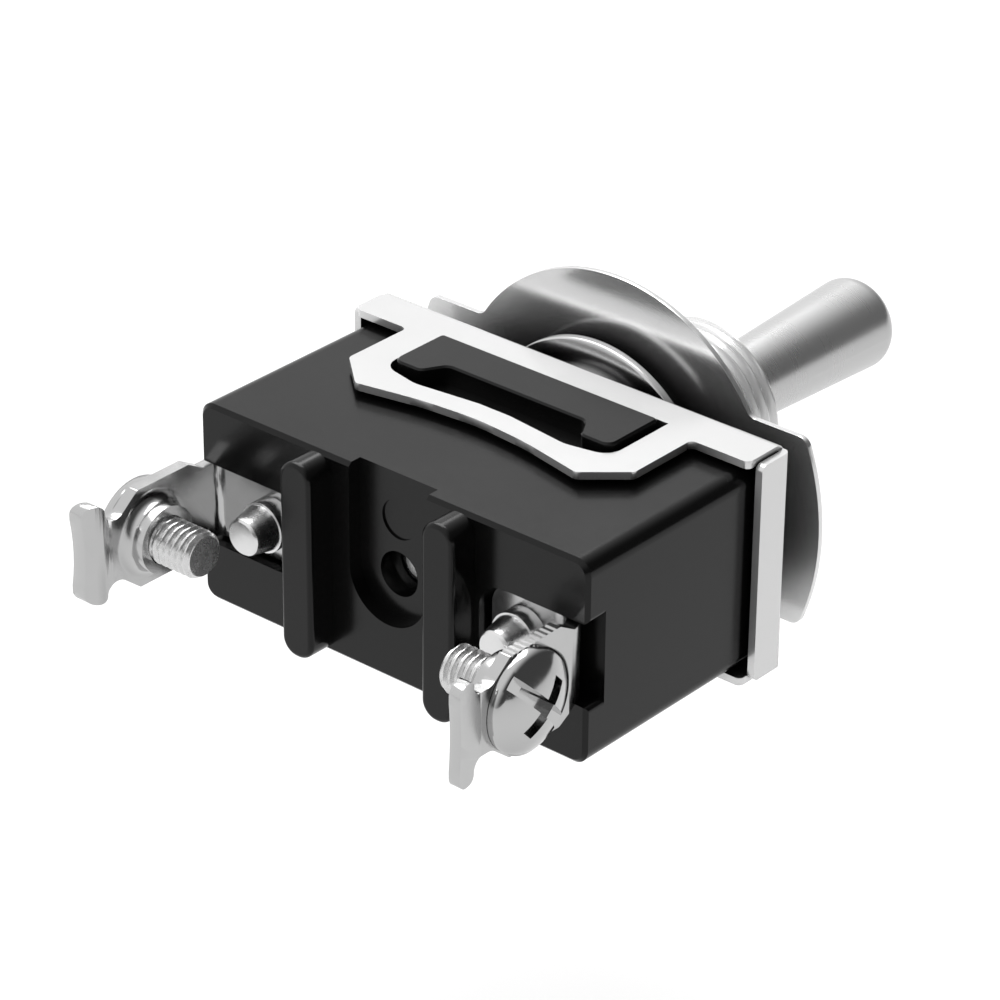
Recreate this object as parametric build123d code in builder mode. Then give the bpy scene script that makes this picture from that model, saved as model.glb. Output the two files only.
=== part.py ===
"""Panel toggle switch with a threaded bushing and two screw terminals.

Frame: X runs along the case, +Y along the bushing towards the lever, Z across the case.
The origin is on the bushing's axis, in the front face of the indicator plate.
"""
from build123d import *
import os
from math import cos, radians, sin, sqrt, tan

os.makedirs("parts", exist_ok=True)

# Bushing, the interface to the panel
thread_radius = 5.9
thread_length = 9.35
thread_chamfer = 0.4
thread_pitch = 0.8
thread_depth = 0.4
thread_crest = 0.2
relief_radius = 5.55
shoulder_radius = 8.4
shoulder_thickness = 0.65
neck_radius = 6.9
neck_length = 1.3
spigot_radius = 6.1

# Plate and ring on the bushing
plate_thickness = 0.35
plate_disc_radius = 12.2
plate_wing_radius = 15.9
plate_wing_half_width = 6.3
plate_corner_radius = 0.8
plate_root_radius = 0.8
plate_bore_clearance = 0.15
ring_thickness = 1.15
ring_radius = 7.2
ring_teeth = 12
ring_gap_width = 1.0
ring_gap_depth = 0.9

# Case moulding
case_length = 30.0
case_width = 13.3
case_depth = 16.4
case_corner_radius = 1.0
case_edge_chamfer = 0.25
end_wall = 2.5
broad_wall = 1.65
case_floor = 3.75
cavity_corner_radius = 1.0
rib_width = 2.4
rib_height = 2.0
rib_offset = 5.5
rib_end_gap = 0.15
rib_edge_radius = 0.3
recess_half_width = 3.0
recess_depth = 1.0
centre_hole_radius = 1.45
ejector_radius = 1.3
ejector_offset = 3.6
ejector_depth = 0.12
pocket_depth = 1.6
pocket_half_width = 2.7
pocket_inner_end = 7.0
pocket_corner_radius = 1.8
pocket_mouth_radius = 0.4

# Latch boss on each broad face of the case
boss_half_length = 8.4
boss_top = 2.95
boss_bottom = 7.5
boss_height = 1.25
boss_upper_corner = 0.3
boss_lower_corner = 0.7
boss_notch_half_length = 5.3
boss_notch_flare = 0.9
boss_notch_depth = 1.55
boss_notch_radius = 0.6
boss_edge_chamfer = 0.12

# Bracket, a folded sheet cap
sheet = 0.5
bracket_clearance = 0.35
flange_depth = 3.25
strap_depth = 2.7
fold_radius = 0.5
flange_corner = 0.4
corner_slit = 0.1
corner_cut = 0.32
loop_half_length = 11.05
loop_side_end = 8.45
loop_corner_x = 8.5
loop_bottom = 10.7
loop_bow_x = 4.0
loop_bow_end = 9.8
loop_bow_middle = 9.45
loop_bow_radius = 15.0
loop_corner_radius = 0.5
loop_root_radius = 0.4
window_half_length = 8.75
window_top = 2.5
window_side_end = 7.85
window_corner = 1.3
window_bow_x = 5.8
window_bottom = 8.45
window_middle_x = 1.2
window_middle = 7.9
window_bow_radius = 2.5

# Insulating sheet under the bracket
liner_thickness = 0.4
liner_margin = 0.3
liner_corner_radius = 0.8
slot_clearance = 0.3

# Lever and its pin
throw = 13.0
pivot_height = 3.2
lever_ball_radius = 2.6
lever_barrel_radius = 2.2
lever_barrel_chamfer = 0.3
lever_tip_radius = 3.13
lever_length = 23.0
lever_dome = 1.45
lever_tip_round = 1.2
pin_radius = 0.75
pin_half_length = 4.9
pin_end_clearance = 0.15
running_fit = 0.05
ball_clearance = 0.12
ball_bore_depth = 1.6
mouth_clearance = 0.25
barrel_side_clearance = 0.25

# Plunger and spring in the lever's lower end
plunger_radius = 1.3
plunger_tip_radius = 1.1
plunger_lift = 2.4
barrel_lift = 3.2
plunger_taper = 0.7
plunger_guide_radius = 0.5
plunger_guide_length = 1.0
bore_depth = 6.7
spring_room = 4.0
spring_wire = 0.4
wire_sides = 6
spring_mean_radius = 1.0
spring_turns = 4
spring_seat_gap = 0.03

# Rocker, fulcrum and contacts
fulcrum_height = 3.2
rocker_ratio = 0.65
rocker_thickness = 0.95
rocker_half_width = 2.2
rocker_valley_x = 3.6
rocker_crest_step = 0.3
rocker_arm_step = 0.5
rocker_arm_x = 5.4
rocker_arm_end = 7.6
rocker_arm_top = 1.0
trunnion_radius = 0.7
strip = 0.8
strip_half_width = 2.2
strip_end_gap = 1.0
strip_corner = 0.4
ear_thickness = 0.8
ear_half_length = 1.5
ear_side_clearance = 0.4
ear_rise = 0.4
trunnion_end_gap = 0.3
contact_plate_start = 5.1
contact_offset = 6.5
contact_radius = 0.8
contact_height = 0.55
contact_chamfer = 0.15
contact_closed_gap = 0.03
fixed_contact_radius = 0.95

# Rivets
rivet_offset = 9.8
rivet_radius = 1.18
rivet_stub = 2.8
rivet_head_radius = 1.85
rivet_head_height = 0.7
rivet_root_radius = 1.48
rivet_collar_radius = 1.62
rivet_collar_height = 1.1
rivet_chamfer = 0.15
stud_radius = 1.0
stud_end_radius = 1.35
stud_end_height = 0.35
stud_depth = 2.0
stud_dish = 0.2
stud_head_radius = 1.7
stud_head_height = 0.6

# Terminals, alike but for where each was folded and how far its lip is bent
terminal_sheet = 0.8
terminal_inner_end = 7.3
terminal_foot_half_width = 2.5
terminal_foot_corner = 1.5
terminal_half_width = 3.25
shoulder_start = 1.25
shoulder_end = 2.55
taper_start = 6.85
taper_end = 8.35
taper_corner = 0.15
neck_half_width = 2.05
neck_tab_corner = 1.0
neck_ear_corner = 0.7
ear_half_width = 3.27
ear_width = 1.5
ear_inner_corner = 0.5
ear_outer_corner = 0.7
lip_bend = 9.3
lip_bend_radius = 0.9
tip_hollow = 0.12
tip_radius = 20.0
right_outer = 14.5
right_fold = 1.7
right_lip_angle = 10.0
right_length = 11.5
right_screw_axis = 5.6
left_outer = 15.1
left_fold = 0.5
left_lip_angle = 36.0
left_length = 11.0
left_screw_axis = 5.8
serrations = 9
serration_pitch = 0.46
serration_depth = 0.12
serration_start = 3.0
collar_height = 1.35
collar_radius = 2.15
collar_flare = 0.7

# Terminal screws
screw_radius = 1.5
screw_fit = 0.05
screw_length = 5.2
screw_end_chamfer = 0.3
screw_head_radius = 3.2
screw_rim = 0.5
screw_dome = 1.2
screw_seat_gap = 0.03
slot_width = 0.85
slot_depth = 1.05
cross_length = 3.7
cross_width = 0.85
cross_depth = 1.6
drive_angle = -47.0

# Levels along Y, from the seat of the panel back to the terminals
plate_back = -plate_thickness
shoulder_front = plate_back - ring_thickness
shoulder_back = shoulder_front - shoulder_thickness
bracket_face = shoulder_back - neck_length
bracket_inner = bracket_face - sheet
case_mouth = bracket_inner - liner_thickness
terminal_face = case_mouth - case_depth
cavity_floor = terminal_face + case_floor
pocket_floor = terminal_face + pocket_depth
recess_floor = terminal_face + recess_depth
foot_face = pocket_floor - terminal_sheet
fulcrum_level = cavity_floor + fulcrum_height
plunger_level = fulcrum_level + plunger_lift
barrel_end = plunger_level + barrel_lift
strip_face = cavity_floor + strip
lever_shoulder = pivot_height + lever_length - lever_dome
ball_join = sqrt(lever_ball_radius**2 - lever_barrel_radius**2)
lever_taper = (lever_tip_radius - lever_barrel_radius) / (lever_shoulder - pivot_height - ball_join)
lever_mouth_radius = lever_barrel_radius + lever_taper * (thread_length - pivot_height - ball_join)

half_width = case_width / 2
case_half_length = case_length / 2
strip_end = case_half_length - end_wall - strip_end_gap
tilt = radians(rocker_ratio * throw)
edge_reach = 0.05


def across(level: float) -> Plane:
    """Plane square to the bushing's axis at a level, facing the terminals."""
    return Plane.XZ.offset(-level)


def both_halves(half: list) -> list:
    """A symmetrical row made from its right half, with X turned about for the left."""
    left = [(-item[0], item[1]) if isinstance(item, tuple) else item for item in reversed(half)]
    return half + left


def swing(level: float, radius: float) -> float:
    """Half length along X that a round bar of the lever sweeps at a level."""
    return abs(pivot_height - level) * tan(radians(throw)) + radius / cos(radians(throw))


# Case
with BuildPart() as case:
    with BuildSketch(across(case_mouth)):
        RectangleRounded(case_length, case_width, case_corner_radius)
    extrude(amount=case_depth)
    chamfer(case.faces().sort_by(Axis.Y)[0].edges(), case_edge_chamfer)

    # Barrier ribs
    rib_length = case_width - 2 * rib_end_gap
    with BuildSketch(across(terminal_face)):
        with Locations((-rib_offset, 0), (rib_offset, 0)):
            RectangleRounded(rib_width, rib_length, rib_width / 2 - rib_end_gap / 2)
    extrude(amount=rib_height)
    rib_rims = case.faces().filter_by(Axis.Y).sort_by(Axis.Y)[:2]
    fillet(rib_rims.edges(), rib_edge_radius)

    # Latch bosses
    boss_half = [
        (boss_notch_half_length, bracket_face - boss_bottom + boss_notch_depth),
        (boss_notch_half_length + boss_notch_flare, bracket_face - boss_bottom),
        (boss_half_length, bracket_face - boss_bottom),
        (boss_half_length, bracket_face - boss_top),
    ]
    boss_radii = [boss_notch_radius, boss_notch_radius, boss_lower_corner, boss_upper_corner]
    for side in (1, -1):
        with BuildSketch(Plane.XY.offset(side * half_width)):
            with BuildLine():
                FilletPolyline(*both_halves(boss_half), radius=both_halves(boss_radii), close=True)
            make_face()
        extrude(amount=side * boss_height)
    boss_tops = case.faces().filter_by(Axis.Z).group_by(Axis.Z)
    chamfer(boss_tops[-1].edges() + boss_tops[0].edges(), boss_edge_chamfer)

    # Cavity for the mechanism
    with BuildSketch(across(cavity_floor)):
        RectangleRounded(case_length - 2 * end_wall, case_width - 2 * broad_wall, cavity_corner_radius)
    extrude(amount=cavity_floor - case_mouth, mode=Mode.SUBTRACT)

    # Terminal pockets, open through the ends
    pocket_reach = case_half_length + pocket_corner_radius - pocket_inner_end
    with BuildSketch(across(pocket_floor)):
        with Locations(*[(s * (pocket_inner_end + pocket_reach / 2), 0) for s in (-1, 1)]):
            RectangleRounded(pocket_reach, 2 * pocket_half_width, pocket_corner_radius)
    extrude(amount=pocket_depth + rib_height, mode=Mode.SUBTRACT)
    with BuildSketch(across(pocket_floor)):
        with Locations(*[(s * (case_half_length - end_wall / 2), 0) for s in (-1, 1)]):
            Rectangle(end_wall + case_corner_radius, 2 * pocket_half_width)
    extrude(amount=pocket_depth, mode=Mode.SUBTRACT)
    mouth_edges = case.edges().filter_by(Axis.Y).filter_by(
        lambda e: abs(e.center().X) > case_half_length - edge_reach
        and abs(abs(e.center().Z) - pocket_half_width) < edge_reach
    )
    fillet(mouth_edges, pocket_mouth_radius)

    # Centre recess, open through the upper broad face, with its hole and ejector mark
    with BuildSketch(across(recess_floor)):
        Circle(recess_half_width)
        with Locations((0, half_width / 2)):
            Rectangle(2 * recess_half_width, half_width)
    extrude(amount=recess_depth, mode=Mode.SUBTRACT)
    with BuildSketch(across(recess_floor + stud_depth)):
        Circle(centre_hole_radius)
    extrude(amount=case_floor, mode=Mode.SUBTRACT)
    with BuildSketch(across(cavity_floor)):
        Circle(stud_radius)
    extrude(amount=case_floor, mode=Mode.SUBTRACT)
    with BuildSketch(across(recess_floor + ejector_depth)):
        with Locations((0, ejector_offset)):
            Circle(ejector_radius)
    extrude(amount=ejector_depth, mode=Mode.SUBTRACT)

    # Rivet holes
    with BuildSketch(across(cavity_floor)):
        with Locations((-rivet_offset, 0), (rivet_offset, 0)):
            Circle(rivet_radius)
    extrude(amount=case_floor, mode=Mode.SUBTRACT)
case.part.label = "case"
export_step(case.part, "parts/case.step")

# Bracket
cap_half_length = case_half_length + bracket_clearance + sheet
cap_half_width = half_width + bracket_clearance + sheet
flange_edge = bracket_face - flange_depth
strap_edge = bracket_face - strap_depth
flange_end = cap_half_length - sheet - corner_slit
with BuildPart() as bracket:
    with BuildSketch(across(bracket_face)):
        Rectangle(2 * cap_half_length, 2 * cap_half_width)
    extrude(amount=flange_depth)
    fillet(bracket.faces().sort_by(Axis.Y)[-1].edges(), fold_radius)
    with BuildSketch(across(bracket_inner)):
        Rectangle(2 * (cap_half_length - sheet), 2 * (cap_half_width - sheet))
    extrude(amount=flange_depth, mode=Mode.SUBTRACT)

    # Corners, cut out of the plate and slit where the flanges meet the straps
    with BuildSketch(across(bracket_face)):
        with GridLocations(2 * cap_half_length, 2 * cap_half_width, 2, 2):
            Rectangle(2 * (sheet + corner_slit), 2 * corner_cut)
    extrude(amount=flange_depth, mode=Mode.SUBTRACT)
    with BuildSketch(across(bracket_inner)):
        with GridLocations(2 * flange_end + corner_slit, 2 * cap_half_width, 2, 2):
            Rectangle(corner_slit, 2 * sheet)
    extrude(amount=flange_depth, mode=Mode.SUBTRACT)

    # End straps, shorter than the flanges
    with BuildSketch(across(strap_edge)):
        with GridLocations(2 * cap_half_length - sheet, 0, 2, 1):
            Rectangle(sheet, 2 * cap_half_width)
    extrude(amount=flange_depth, mode=Mode.SUBTRACT)
    flange_corners = bracket.edges().filter_by(Axis.Z).filter_by(
        lambda e: abs(e.center().Y - flange_edge) < edge_reach and abs(e.center().X) > loop_half_length
    )
    strap_corners = bracket.edges().filter_by(Axis.X).filter_by(
        lambda e: abs(e.center().Y - strap_edge) < edge_reach and abs(e.center().X) > flange_end
    )
    fillet(flange_corners + strap_corners, flange_corner)

    # Latch loops, one in the plane of each flange
    loop_half = [
        (loop_bow_x, bracket_face - loop_bow_end),
        (loop_corner_x, bracket_face - loop_bottom),
        (loop_half_length, bracket_face - loop_side_end),
        (loop_half_length, bracket_inner),
    ]
    loop_radii = [loop_bow_radius, loop_corner_radius, loop_corner_radius, 0]
    window_half = [
        (window_middle_x, bracket_face - window_middle),
        (window_bow_x, bracket_face - window_bottom),
        (window_half_length, bracket_face - window_side_end),
        (window_half_length, bracket_face - window_top),
    ]
    window_radii = [window_bow_radius, window_bow_radius, window_corner, 0]
    for side in (1, -1):
        with BuildSketch(Plane.XY.offset(side * cap_half_width)):
            with BuildLine():
                FilletPolyline(
                    *both_halves(loop_half),
                    (0, bracket_face - loop_bow_middle),
                    radius=both_halves(loop_radii) + [loop_bow_radius],
                    close=True,
                )
            make_face()
        extrude(amount=-side * sheet)
    root_edges = bracket.edges().filter_by(Axis.Z).filter_by(
        lambda e: abs(e.center().Y - flange_edge) < edge_reach
        and abs(abs(e.center().X) - loop_half_length) < edge_reach
    )
    fillet(root_edges, loop_root_radius)
    for side in (1, -1):
        with BuildSketch(Plane.XY.offset(side * cap_half_width)):
            with BuildLine():
                FilletPolyline(*both_halves(window_half), radius=both_halves(window_radii), close=True)
            make_face()
        extrude(amount=-side * sheet, mode=Mode.SUBTRACT)

    # Hole for the bushing's spigot
    with BuildSketch(across(bracket_face)):
        Circle(spigot_radius)
    extrude(amount=sheet, mode=Mode.SUBTRACT)
bracket.part.label = "bracket"
export_step(bracket.part, "parts/bracket.step")

# Insulating sheet
with BuildPart() as insulating_sheet:
    with BuildSketch(across(bracket_inner)):
        RectangleRounded(case_length - liner_margin, case_width - liner_margin, liner_corner_radius)
        SlotOverall(
            2 * (swing(case_mouth, lever_barrel_radius) + slot_clearance),
            2 * (lever_barrel_radius + slot_clearance),
            mode=Mode.SUBTRACT,
        )
    extrude(amount=liner_thickness)
insulating_sheet.part.label = "insulating_sheet"
export_step(insulating_sheet.part, "parts/insulating_sheet.step")

# Bushing
ball_bore = lever_ball_radius + ball_clearance
mouth_radius = swing(thread_length, lever_mouth_radius) + mouth_clearance
slot_half_length = swing(bracket_inner, lever_barrel_radius) + slot_clearance
with BuildPart() as bushing:
    with BuildSketch(Plane.XY):
        with BuildLine():
            Polyline(
                (0, bracket_inner),
                (spigot_radius, bracket_inner),
                (spigot_radius, bracket_face),
                (neck_radius, bracket_face),
                (neck_radius, shoulder_back),
                (shoulder_radius, shoulder_back),
                (shoulder_radius, shoulder_front),
                (relief_radius, shoulder_front),
                (relief_radius, 0),
                (thread_radius, 0),
                (thread_radius, thread_length - thread_chamfer),
                (thread_radius - thread_chamfer, thread_length),
                (0, thread_length),
                close=True,
            )
        make_face()
    revolve(axis=Axis.Y)

    # Thread, drawn as one groove to each pitch
    groove_half_width = (thread_pitch - thread_crest) / 2
    groove_count = int((thread_length - thread_chamfer) / thread_pitch)
    with BuildSketch(Plane.XY):
        for turn in range(groove_count):
            groove_level = thread_crest + groove_half_width + turn * thread_pitch
            with BuildLine():
                Polyline(
                    (thread_radius, groove_level - groove_half_width),
                    (thread_radius - thread_depth, groove_level),
                    (thread_radius, groove_level + groove_half_width),
                    (thread_radius + thread_depth, groove_level),
                    close=True,
                )
            make_face()
    revolve(axis=Axis.Y, mode=Mode.SUBTRACT)

    # Mouth, cone and round bore for the lever's ball
    with BuildSketch(Plane.XY):
        with BuildLine():
            Polyline(
                (0, pivot_height - ball_bore_depth),
                (ball_bore, pivot_height - ball_bore_depth),
                (ball_bore, pivot_height),
                (mouth_radius, thread_length),
                (0, thread_length),
                close=True,
            )
        make_face()
    revolve(axis=Axis.Y, mode=Mode.SUBTRACT)

    # Slot below the ball, in which the lever swings
    with BuildSketch(Plane.XY):
        with BuildLine():
            Polyline(
                (-ball_bore, pivot_height - ball_bore_depth),
                (ball_bore, pivot_height - ball_bore_depth),
                (slot_half_length, bracket_inner),
                (-slot_half_length, bracket_inner),
                close=True,
            )
        make_face()
    extrude(amount=lever_barrel_radius + barrel_side_clearance, both=True, mode=Mode.SUBTRACT)

    # Grooves for the pin, open to the inside of the switch
    groove_radius = pin_radius + running_fit
    with BuildSketch(Plane.XY):
        with Locations((0, pivot_height)):
            Circle(groove_radius)
        with Locations((0, (pivot_height + bracket_inner) / 2)):
            Rectangle(2 * groove_radius, pivot_height - bracket_inner)
    extrude(amount=pin_half_length + pin_end_clearance, both=True, mode=Mode.SUBTRACT)
bushing.part.label = "bushing"
export_step(bushing.part, "parts/bushing.step")

# Lock ring
with BuildPart() as lock_ring:
    with BuildSketch(across(plate_back)):
        Circle(ring_radius)
        Circle(thread_radius + plate_bore_clearance, mode=Mode.SUBTRACT)
        with PolarLocations(thread_radius + plate_bore_clearance, ring_teeth):
            Rectangle(2 * ring_gap_depth, ring_gap_width, mode=Mode.SUBTRACT)
    extrude(amount=ring_thickness)
lock_ring.part.label = "lock_ring"
export_step(lock_ring.part, "parts/lock_ring.step")

# Indicator plate
with BuildPart() as indicator_plate:
    with BuildSketch(across(0)) as plate_outline:
        Circle(plate_wing_radius)
        Rectangle(2 * plate_wing_radius, 2 * plate_wing_half_width, mode=Mode.INTERSECT)
        fillet(plate_outline.vertices(), plate_corner_radius)
        Circle(plate_disc_radius)
        wing_points = plate_outline.vertices().filter_by(
            lambda v: abs(abs(v.Y) - plate_wing_half_width) < plate_root_radius
        )
        roots = wing_points.filter_by(lambda v: abs(v.X) < plate_disc_radius)
        fillet(roots, plate_root_radius)
        Circle(thread_radius + plate_bore_clearance, mode=Mode.SUBTRACT)
    extrude(amount=plate_thickness)
indicator_plate.part.label = "indicator_plate"
export_step(indicator_plate.part, "parts/indicator_plate.step")

# Lever
bore_radius = plunger_radius + running_fit
bore_top = barrel_end + bore_depth
with BuildPart() as lever:
    with BuildSketch(Plane.XY) as lever_profile:
        with BuildLine():
            Polyline(
                (0, barrel_end),
                (lever_barrel_radius - lever_barrel_chamfer, barrel_end),
                (lever_barrel_radius, barrel_end + lever_barrel_chamfer),
                (lever_barrel_radius, pivot_height - ball_join),
            )
            ThreePointArc(
                (lever_barrel_radius, pivot_height - ball_join),
                (lever_ball_radius, pivot_height),
                (lever_barrel_radius, pivot_height + ball_join),
            )
            Line((lever_barrel_radius, pivot_height + ball_join), (lever_tip_radius, lever_shoulder))
            dome_radius = (lever_tip_radius**2 + lever_dome**2) / (2 * lever_dome)
            RadiusArc(
                (lever_tip_radius, lever_shoulder),
                (0, lever_shoulder + lever_dome),
                -dome_radius,
            )
            Line((0, lever_shoulder + lever_dome), (0, barrel_end))
        make_face()
        tip_corner = lever_profile.vertices().sort_by_distance((lever_tip_radius, lever_shoulder, 0))[0]
        fillet(tip_corner, lever_tip_round)
    revolve(axis=Axis.Y)
    with BuildSketch(across(bore_top)):
        Circle(bore_radius)
    extrude(amount=bore_depth, mode=Mode.SUBTRACT)
    with BuildSketch(Plane.XY):
        with Locations((0, pivot_height)):
            Circle(pin_radius)
    extrude(amount=lever_ball_radius, both=True, mode=Mode.SUBTRACT)
lever.part.label = "lever"
export_step(lever.part, "parts/lever.step")

# Lever pin
with BuildPart() as lever_pin:
    with BuildSketch(Plane.XY):
        with Locations((0, pivot_height)):
            Circle(pin_radius)
    extrude(amount=pin_half_length, both=True)
    chamfer(lever_pin.edges().filter_by(GeomType.CIRCLE), contact_chamfer)
lever_pin.part.label = "lever_pin"
export_step(lever_pin.part, "parts/lever_pin.step")

# Plunger
plunger_top = bore_top - spring_room
tip_middle = plunger_tip_radius * sin(radians(45))
with BuildPart() as plunger:
    with BuildSketch(Plane.XY):
        with BuildLine():
            ThreePointArc(
                (0, plunger_level - plunger_tip_radius),
                (tip_middle, plunger_level - tip_middle),
                (plunger_tip_radius, plunger_level),
            )
            Polyline(
                (plunger_tip_radius, plunger_level),
                (plunger_radius, plunger_level + plunger_taper),
                (plunger_radius, plunger_top),
                (plunger_guide_radius, plunger_top),
                (plunger_guide_radius, plunger_top + plunger_guide_length),
                (0, plunger_top + plunger_guide_length),
                (0, plunger_level - plunger_tip_radius),
            )
        make_face()
    revolve(axis=Axis.Y)
plunger.part.label = "plunger"
export_step(plunger.part, "parts/plunger.step")

# Plunger spring
wire_radius = spring_wire / 2
coil_height = spring_room - 2 * spring_seat_gap - spring_wire
with BuildPart() as plunger_spring:
    with BuildLine() as coil:
        Helix(
            pitch=coil_height / spring_turns,
            height=coil_height,
            radius=spring_mean_radius,
            center=(0, plunger_top + spring_seat_gap + wire_radius, 0),
            direction=(0, 1, 0),
        )
    with BuildSketch(Plane(origin=coil.line @ 0, z_dir=coil.line % 0)):
        RegularPolygon(wire_radius, wire_sides)
    sweep(path=coil.line, is_frenet=True)
plunger_spring.part.label = "plunger_spring"
export_step(plunger_spring.part, "parts/plunger_spring.step")

# Rocker, its valley shaped to the path of the plunger's tip
plunger_reach = pivot_height - plunger_level
path_run = plunger_reach - rocker_ratio * plunger_lift
path_rise = plunger_reach * (1 + 2 * rocker_ratio) - rocker_ratio**2 * plunger_lift
valley_radius = path_run**2 / path_rise + plunger_tip_radius + running_fit
valley_bottom = plunger_level - plunger_tip_radius - running_fit
valley_centre = valley_bottom + valley_radius
crest = valley_centre - sqrt(valley_radius**2 - rocker_valley_x**2)
under_radius = valley_radius + rocker_thickness
under_bottom = valley_bottom - rocker_thickness
under_x = rocker_valley_x - rocker_crest_step
under_crest = valley_centre - sqrt(under_radius**2 - under_x**2)
arm_top = fulcrum_level + rocker_arm_top
arm_under = arm_top - rocker_thickness
with BuildPart() as rocker:
    with BuildSketch(Plane.XY):
        with BuildLine():
            ThreePointArc((-rocker_valley_x, crest), (0, valley_bottom), (rocker_valley_x, crest))
            ThreePointArc((-under_x, under_crest), (0, under_bottom), (under_x, under_crest))
            for side in (1, -1):
                Polyline(
                    (side * rocker_valley_x, crest),
                    (side * rocker_arm_x, arm_top),
                    (side * rocker_arm_end, arm_top),
                    (side * rocker_arm_end, arm_under),
                    (side * (rocker_arm_x - rocker_arm_step), arm_under),
                    (side * under_x, under_crest),
                )
        make_face()
    extrude(amount=rocker_half_width, both=True)
    with BuildSketch(Plane.XY):
        with Locations((0, fulcrum_level)):
            Circle(trunnion_radius)
    extrude(amount=rocker_half_width + ear_side_clearance + ear_thickness - trunnion_end_gap, both=True)
rocker.part.label = "rocker"
export_step(rocker.part, "parts/rocker.step")

# Moving contact under the right-hand arm
with BuildPart() as rocker_contact:
    with BuildSketch(across(arm_under)):
        with Locations((contact_offset, 0)):
            Circle(contact_radius)
    extrude(amount=contact_height)
    chamfer(rocker_contact.faces().sort_by(Axis.Y)[0].edges(), contact_chamfer)
rocker_contact.part.label = "rocker_contact"
export_step(rocker_contact.part, "parts/rocker_contact.step")

# Fixed contact, just clear of the moving one when the switch is on
contact_edge_x = contact_offset + contact_radius - contact_chamfer
contact_bottom = arm_under - contact_height - fulcrum_level
closed_level = fulcrum_level - contact_edge_x * sin(tilt) + contact_bottom * cos(tilt)
with BuildPart() as fixed_contact:
    with BuildSketch(across(closed_level - contact_closed_gap)):
        with Locations((contact_offset, 0)):
            Circle(fixed_contact_radius)
    extrude(amount=closed_level - contact_closed_gap - strip_face)
    chamfer(fixed_contact.faces().sort_by(Axis.Y)[-1].edges(), contact_chamfer)
fixed_contact.part.label = "fixed_contact"
export_step(fixed_contact.part, "parts/fixed_contact.step")

# Contact plate
with BuildPart() as contact_plate:
    with BuildSketch(across(strip_face)):
        with Locations(((contact_plate_start + strip_end) / 2, 0)):
            RectangleRounded(strip_end - contact_plate_start, 2 * strip_half_width, strip_corner)
        with Locations((rivet_offset, 0)):
            Circle(rivet_radius, mode=Mode.SUBTRACT)
    extrude(amount=strip)
contact_plate.part.label = "contact_plate"
export_step(contact_plate.part, "parts/contact_plate.step")

# Fulcrum
ear_inner = rocker_half_width + ear_side_clearance
ear_outer = ear_inner + ear_thickness
ear_top = fulcrum_level + ear_rise
with BuildPart() as fulcrum:
    with BuildSketch(across(strip_face)):
        with Locations(((ear_half_length - strip_end) / 2, 0)):
            Rectangle(strip_end + ear_half_length, 2 * strip_half_width)
        Rectangle(2 * ear_half_length, 2 * ear_outer)
        with Locations((-rivet_offset, 0)):
            Circle(rivet_radius, mode=Mode.SUBTRACT)
        Circle(stud_radius, mode=Mode.SUBTRACT)
    extrude(amount=strip)
    for side in (1, -1):
        with BuildSketch(Plane.XY.offset(side * ear_inner)):
            with Locations((0, (ear_top + strip_face) / 2)):
                Rectangle(2 * ear_half_length, ear_top - strip_face)
            with Locations((0, fulcrum_level)):
                Circle(trunnion_radius + running_fit, mode=Mode.SUBTRACT)
            with Locations((0, fulcrum_level + ear_rise)):
                Rectangle(2 * (trunnion_radius + running_fit), 2 * ear_rise, mode=Mode.SUBTRACT)
        extrude(amount=side * ear_thickness)
    ear_corners = fulcrum.edges().filter_by(Axis.Z).filter_by(
        lambda e: abs(e.center().Y - ear_top) < edge_reach
        and abs(e.center().X) > ear_half_length - edge_reach
    )
    fillet(ear_corners, strip_corner)
fulcrum.part.label = "fulcrum"
export_step(fulcrum.part, "parts/fulcrum.step")

# Rivets, each through a terminal, the case floor and an inner strip
stub_end = foot_face - rivet_stub
with BuildPart() as rivet_right:
    with BuildSketch(Plane(origin=(rivet_offset, 0, 0))):
        with BuildLine():
            Polyline(
                (0, stub_end),
                (rivet_radius - rivet_chamfer, stub_end),
                (rivet_radius, stub_end + rivet_chamfer),
                (rivet_root_radius, foot_face - rivet_collar_height),
                (rivet_collar_radius, foot_face - rivet_collar_height),
                (rivet_collar_radius, foot_face),
                (rivet_radius, foot_face),
                (rivet_radius, strip_face),
                (rivet_head_radius, strip_face),
            )
            head_arc = (rivet_head_radius**2 + rivet_head_height**2) / (2 * rivet_head_height)
            RadiusArc((rivet_head_radius, strip_face), (0, strip_face + rivet_head_height), -head_arc)
            Line((0, strip_face + rivet_head_height), (0, stub_end))
        make_face()
    revolve(axis=Axis((rivet_offset, 0, 0), (0, 1, 0)))
rivet_right.part.label = "rivet_right"
export_step(rivet_right.part, "parts/rivet_right.step")

with BuildPart() as rivet_left:
    add(rivet_right.part)
    mirror(about=Plane.YZ, mode=Mode.REPLACE)
rivet_left.part.label = "rivet_left"
export_step(rivet_left.part, "parts/rivet_left.step")

# Centre stud that holds the fulcrum to the case
stud_seat = recess_floor + stud_depth
with BuildPart() as centre_stud:
    with BuildSketch(Plane.XY):
        with BuildLine():
            Polyline(
                (0, stud_seat - stud_end_height + stud_dish),
                (stud_end_radius - 2 * stud_dish, stud_seat - stud_end_height),
                (stud_end_radius, stud_seat - stud_end_height + stud_dish),
                (stud_end_radius, stud_seat),
                (stud_radius, stud_seat),
                (stud_radius, strip_face),
                (stud_head_radius, strip_face),
                (stud_head_radius, strip_face + stud_head_height - stud_dish),
                (stud_head_radius - stud_dish, strip_face + stud_head_height),
                (0, strip_face + stud_head_height),
                close=True,
            )
        make_face()
    revolve(axis=Axis.Y)
centre_stud.part.label = "centre_stud"
export_step(centre_stud.part, "parts/centre_stud.step")

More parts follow.
